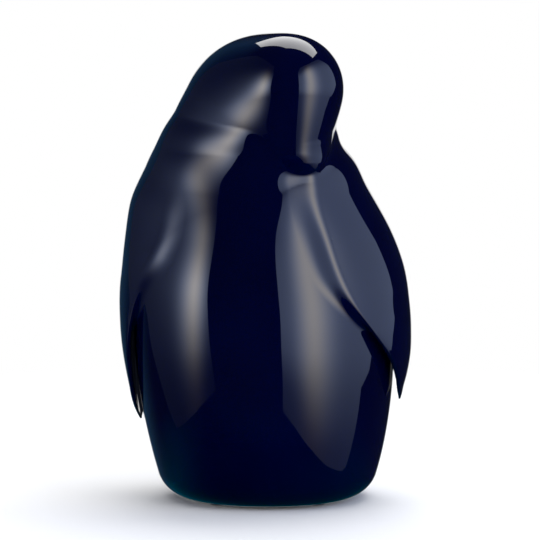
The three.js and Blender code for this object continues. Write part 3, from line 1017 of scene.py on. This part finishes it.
def rounded(points, radius, steps=4):
    """A closed profile with its corners rounded."""
    points = np.array(points, float)
    out = []
    for i, corner in enumerate(points):
        before, after = points[i - 1], points[(i + 1) % len(points)]
        a = corner + (before - corner) / np.linalg.norm(before - corner) * radius
        b = corner + (after - corner) / np.linalg.norm(after - corner) * radius
        for t in np.linspace(0, 1, steps + 1):
            out.append((1 - t) ** 2 * a + 2 * t * (1 - t) * corner + t * t * b)
    return out


VENT_RADIUS = 6.0
DISC_EDGE = 0.5
DISC_AROUND = 128
DISC_WOBBLE = 0.05
PADS = 4
PAD_EDGE = 0.18
PAD_CORE = 0.4                     # a pad's profile starts this far from its middle
PAD_AROUND = 48
PAD_WOBBLE = 0.04
WOBBLE_ROOM = 0.1                  # so that the unevenness stays within the part's own box


def cross_section(inner, low, high):
    """The profile of a flat round piece that fills a box, from an inner radius outwards."""
    outer = (high.x - low.x) / 2 / MM - WOBBLE_ROOM
    thick = (high.z - low.z) / MM
    return [(inner, 0.0), (outer, 0.0), (outer, thick), (inner, thick)]


turned("foot_disc", rounded(cross_section(VENT_RADIUS, disc_low, disc_high), DISC_EDGE), disc_centre,
       DISC_AROUND, DISC_WOBBLE, CLAY, "base_disc")
for number in range(1, PADS + 1):
    pad_low, pad_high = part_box(f"felt_pad_{number}")
    pad_centre = ((pad_low.x + pad_high.x) / 2, (pad_low.y + pad_high.y) / 2, pad_low.z)
    turned(f"felt_{number}", rounded(cross_section(PAD_CORE, pad_low, pad_high), PAD_EDGE), pad_centre,
           PAD_AROUND, PAD_WOBBLE, FELTED, f"felt_pad_{number}")

# Stage and lamps, in metres

MIDDLE_HEIGHT = 0.1
STAGE_MIDDLE = Vector((0, 0, MIDDLE_HEIGHT))
FLOOR_SIZE = 0.45
FLOOR_FADE = (0.16, 0.42)
FLOOR_WHITE = (0.86, 0.86, 0.86, 1)
STAGE_AROUND = 96


def stage_mesh(name, points, faces, material):
    obj = mesh_object(name, points, faces, material)
    return obj


def stage_disc(name, radius, height, material):
    angles = np.linspace(0, 2 * math.pi, STAGE_AROUND, endpoint=False)
    points = [(radius * math.cos(a), radius * math.sin(a), height) for a in angles]
    return stage_mesh(name, points, [tuple(range(STAGE_AROUND))], material)


def seen_only_in_mirrors(obj):
    obj.visible_camera = False
    obj.visible_diffuse = False
    obj.visible_shadow = False
    obj.visible_transmission = False


def floor_material():
    """Pale near the bird and gone further out, so that only the bird's shadow tells floor from background."""
    n = material_nodes("pale_floor")
    away = n.new("VectorMath", {0: n.place()}, operation="LENGTH").outputs["Value"]
    pale = n.new("BsdfDiffuse", {"Color": FLOOR_WHITE}).outputs[0]
    clear = n.new("BsdfTransparent").outputs[0]
    return n.surface(n.mixed(n.between(away, *FLOOR_FADE), pale, clear))


stage_disc("floor", FLOOR_SIZE, 0, floor_material()).visible_glossy = False

LAMP_DISTANCE = 0.85
LAMP_CORE = (1.0, 0.97, 0.96, 1)
LAMP_TAIL = (0.72, 0.90, 1.35, 1)


def on_lamp(azimuth, place):
    """Where a direction from the bird's middle, as (azimuth, elevation), meets a lamp's upright face."""
    turn = math.radians(place[0] - azimuth)
    return -LAMP_DISTANCE * math.tan(turn), LAMP_DISTANCE * math.tan(math.radians(place[1])) / math.cos(turn)


def lamp_material(name, spot, low, base, fall, core, spread, power):
    """A glow that is strongest in an upright band through a spot and dies off sideways, above and below."""
    n = material_nodes(name)
    offset = n.new("VectorMath", {0: n.place(), 1: (*spot, 0)}, operation="SUBTRACT").outputs["Vector"]
    sideways, upward = (n.maths("ABSOLUTE", part) for part in n.apart(offset)[:2])
    tail = n.maths("MULTIPLY", n.maths("EXPONENT", n.maths("DIVIDE", sideways, -fall)), base)
    bell = n.maths("POWER", n.maths("DIVIDE", sideways, spread[0]), 2.0)
    bell = n.maths("MULTIPLY", n.maths("EXPONENT", n.maths("MULTIPLY", bell, -1.0)), core)
    ends = n.maths("POWER", n.maths("DIVIDE", upward, spread[1]), power)
    ends = n.maths("EXPONENT", n.maths("MULTIPLY", ends, -1.0))
    strength = n.maths("MULTIPLY_ADD", n.maths("ADD", tail, bell), ends, low)
    colour = n.blend(n.maths("DIVIDE", bell, core), LAMP_TAIL, LAMP_CORE)
    behind = n.new("NewGeometry").outputs["Backfacing"]
    return n.surface(n.mixed(behind, n.glow(colour, strength), n.glow(BLACK, 0.0)))


def softbox(name, azimuth, outline, spot, **light):
    """A flat upright lamp that faces the bird. Azimuth 0 is the camera's side, 90 the viewer's right."""
    corners = np.array([on_lamp(azimuth, place) for place in outline])
    ahead = np.roll(corners, -1, axis=0)
    if (corners[:, 0] * ahead[:, 1] - ahead[:, 0] * corners[:, 1]).sum() < 0:
        corners = corners[::-1]
    material = lamp_material(name + "_glow", on_lamp(azimuth, spot), **light)
    obj = stage_mesh(name, [(x, y, 0) for x, y in corners.tolist()], [tuple(range(len(corners)))], material)
    turn = math.radians(azimuth)
    out = Vector((math.sin(turn), -math.cos(turn), 0))
    obj.location = STAGE_MIDDLE + out * LAMP_DISTANCE
    obj.rotation_mode = "QUATERNION"
    obj.rotation_quaternion = (-out).to_track_quat("Z", "Y")
    obj.visible_camera = False


softbox("right_softbox", 66,
        [(13, -24), (12, 5), (10, 34), (18, 46), (53, 52), (98, 48), (114, 28), (118, 2), (104, -12),
         (93, -16), (88, -32), (84, -34), (42, -32), (23, -27)],
        spot=(40, 16), low=0.2, base=1.3, fall=2.0, core=3.0, spread=(0.28, 0.58), power=4.0)
softbox("left_softbox", -88,
        [(-41, -21), (-46, 5), (-48, 30), (-56, 45), (-120, 44), (-138, 30), (-142, 0), (-122, -6),
         (-107, -17), (-93, -26), (-60, -24)],
        spot=(-60, 9), low=0.05, base=1.7, fall=0.33, core=4.2, spread=(0.22, 0.28), power=2.0)

CEILING = 1.3                      # the top lamp's height over the bird's middle
TOP_LAMP = [(-0.48, 3.04), (-0.09, 1.66), (0.71, 0.5), (0.65, -0.02), (-0.17, 0.21), (-0.64, 0.95)]
TOP_LAMP_SPAN = (-0.6, 0.8)
TOP_LAMP_STRENGTH = (2.9, 5.4)     # at the left and right ends of that span


def top_lamp():
    """The lamp overhead, an outline in shares of its height, brighter to the right."""
    n = material_nodes("top_lamp_glow")
    strength = n.between(n.apart(n.place())[0], *TOP_LAMP_SPAN, *TOP_LAMP_STRENGTH)
    material = n.surface(n.glow(WHITE, strength))
    points = [(x * CEILING, y * CEILING, MIDDLE_HEIGHT + CEILING) for x, y in TOP_LAMP]
    stage_mesh("top_lamp", points, [tuple(range(len(TOP_LAMP)))], material).visible_camera = False


top_lamp()

TABLE_SIZE = 1.6
TABLE_Z = -0.5
TABLE_SOLID = 0.6                  # the share of its radius within which the table hides what is behind it
TABLE_TEAL = (0.0, 0.028, 0.043, 1)
TABLE_BLUE = (0.0, 0.018, 0.12, 1)


def table_material():
    """The dim surface that the lower glaze mirrors: teal at the back and left, blue in a strip in front."""
    n = material_nodes("table")
    x, y, _ = n.apart(n.place())
    back = n.between(n.maths("MULTIPLY_ADD", x, 0.5, y), -0.7, 0.4)
    left = n.between(n.maths("SUBTRACT", y, x), 0.3, 1.3, 0.0, 2.2)
    front = n.between(y, -0.8, -1.15)
    edge = n.between(y, -1.58, -1.3)
    teal = n.glow(TABLE_TEAL, n.maths("ADD", back, left))
    blue = n.glow(TABLE_BLUE, n.maths("MULTIPLY", front, edge))
    both = n.new("AddShader", {0: teal, 1: blue}).outputs[0]
    flat = n.new("CombineXYZ", {0: x, 1: y}).outputs[0]
    away = n.new("VectorMath", {0: flat}, operation="LENGTH").outputs["Value"]
    inside = n.between(away, TABLE_SIZE, TABLE_SOLID * TABLE_SIZE)
    return n.surface(n.mixed(inside, n.new("BsdfTransparent").outputs[0], both))


seen_only_in_mirrors(stage_disc("table", TABLE_SIZE, TABLE_Z, table_material()))

ROOM_RADIUS = 2.6
ROOM_STEP = 4                      # degrees from one row or column of its faces to the next
ROOM_WALL = (0.01, 0.012, 0.02, 1)
ROOM_TEAL = (0.010, 0.045, 0.085, 1)
WINDOW_SIDE = 14                   # degrees to either side of straight behind
WINDOW_LOW = -16
WINDOW_HIGH = 8


def room_material():
    """Near black, with a dim teal glow behind the bird on the left."""
    n = material_nodes("dark_room")
    x, y, _ = n.apart(n.place())
    teal = n.glow(ROOM_TEAL, n.maths("MULTIPLY", n.between(y, 1.3, 2.1), n.between(x, -0.2, -0.7)))
    wall = n.new("BsdfDiffuse", {"Color": ROOM_WALL}).outputs[0]
    return n.surface(n.new("AddShader", {0: wall, 1: teal}).outputs[0])


def dark_room():
    """Dark all round, seen only in reflections, with an opening behind the bird for the white background."""
    rows = np.arange(-88, 89, ROOM_STEP)
    columns = np.arange(-180, 180, ROOM_STEP) + ROOM_STEP // 2
    around = len(columns)
    points = []
    for el in np.radians(rows):
        for az in np.radians(columns):
            out = ROOM_RADIUS * math.cos(el)
            height = MIDDLE_HEIGHT + ROOM_RADIUS * math.sin(el)
            points.append((out * math.sin(az), -out * math.cos(az), height))
    faces = []
    for j in range(len(rows) - 1):
        for i in range(around):
            behind = abs(columns[i] + ROOM_STEP // 2) >= 180 - WINDOW_SIDE
            if behind and WINDOW_LOW <= rows[j] < WINDOW_HIGH:
                continue
            a, b = j * around + i, j * around + (i + 1) % around
            faces.append((a, b, b + around, a + around))
    faces.append(tuple(range(around)))
    faces.append(tuple(range((len(rows) - 1) * around, len(rows) * around)))
    seen_only_in_mirrors(stage_mesh("dark_room", points, faces, room_material()))


dark_room()

FILL_LIGHT = 0.8


def world():
    """White to the camera and in mirrors and glass, and a soft fill for what it lights."""
    n = Nodes(bpy.data.worlds.new("studio"), "OutputWorld")
    path = n.new("LightPath").outputs
    seen = n.maths("MAXIMUM", path["Is Camera Ray"], path["Is Glossy Ray"])
    seen = n.maths("MAXIMUM", seen, path["Is Transmission Ray"])
    fill, white = (n.new("Background", {"Color": WHITE, "Strength": s}).outputs[0] for s in (FILL_LIGHT, 1.0))
    bpy.context.scene.world = n.surface(n.mixed(seen, fill, white))


world()

# Camera

PHOTO_SIDE = 540
MM_PER_PIXEL = 0.4287
AIM_PIXEL = (264.5, 265.6)         # where the bird's middle lies in the picture
ELEVATION = math.radians(6.5)
DISTANCE = 2.0
SENSOR = 36.0


def look():
    """A long lens a little above the bird's middle, with the bird where the picture has it."""
    camera_data = bpy.data.cameras.new("camera")
    camera = bpy.data.objects.new("camera", camera_data)
    bpy.context.scene.collection.objects.link(camera)
    bpy.context.scene.camera = camera
    camera_data.sensor_width = SENSOR
    camera_data.lens = SENSOR * DISTANCE / (PHOTO_SIDE * MM_PER_PIXEL * MM)
    toward = Vector((0, math.cos(ELEVATION), -math.sin(ELEVATION)))
    right = Vector((1, 0, 0))
    up = right.cross(toward)
    middle = Vector((shift[0] * MM, shift[1] * MM, MIDDLE_HEIGHT))
    middle += right * (PHOTO_SIDE / 2 - AIM_PIXEL[0]) * MM_PER_PIXEL * MM
    middle -= up * (PHOTO_SIDE / 2 - AIM_PIXEL[1]) * MM_PER_PIXEL * MM
    camera.location = middle - toward * DISTANCE
    camera.rotation_mode = "QUATERNION"
    camera.rotation_quaternion = toward.to_track_quat("-Z", "Y")


look()
bpy.context.scene.view_settings.view_transform = "Standard"
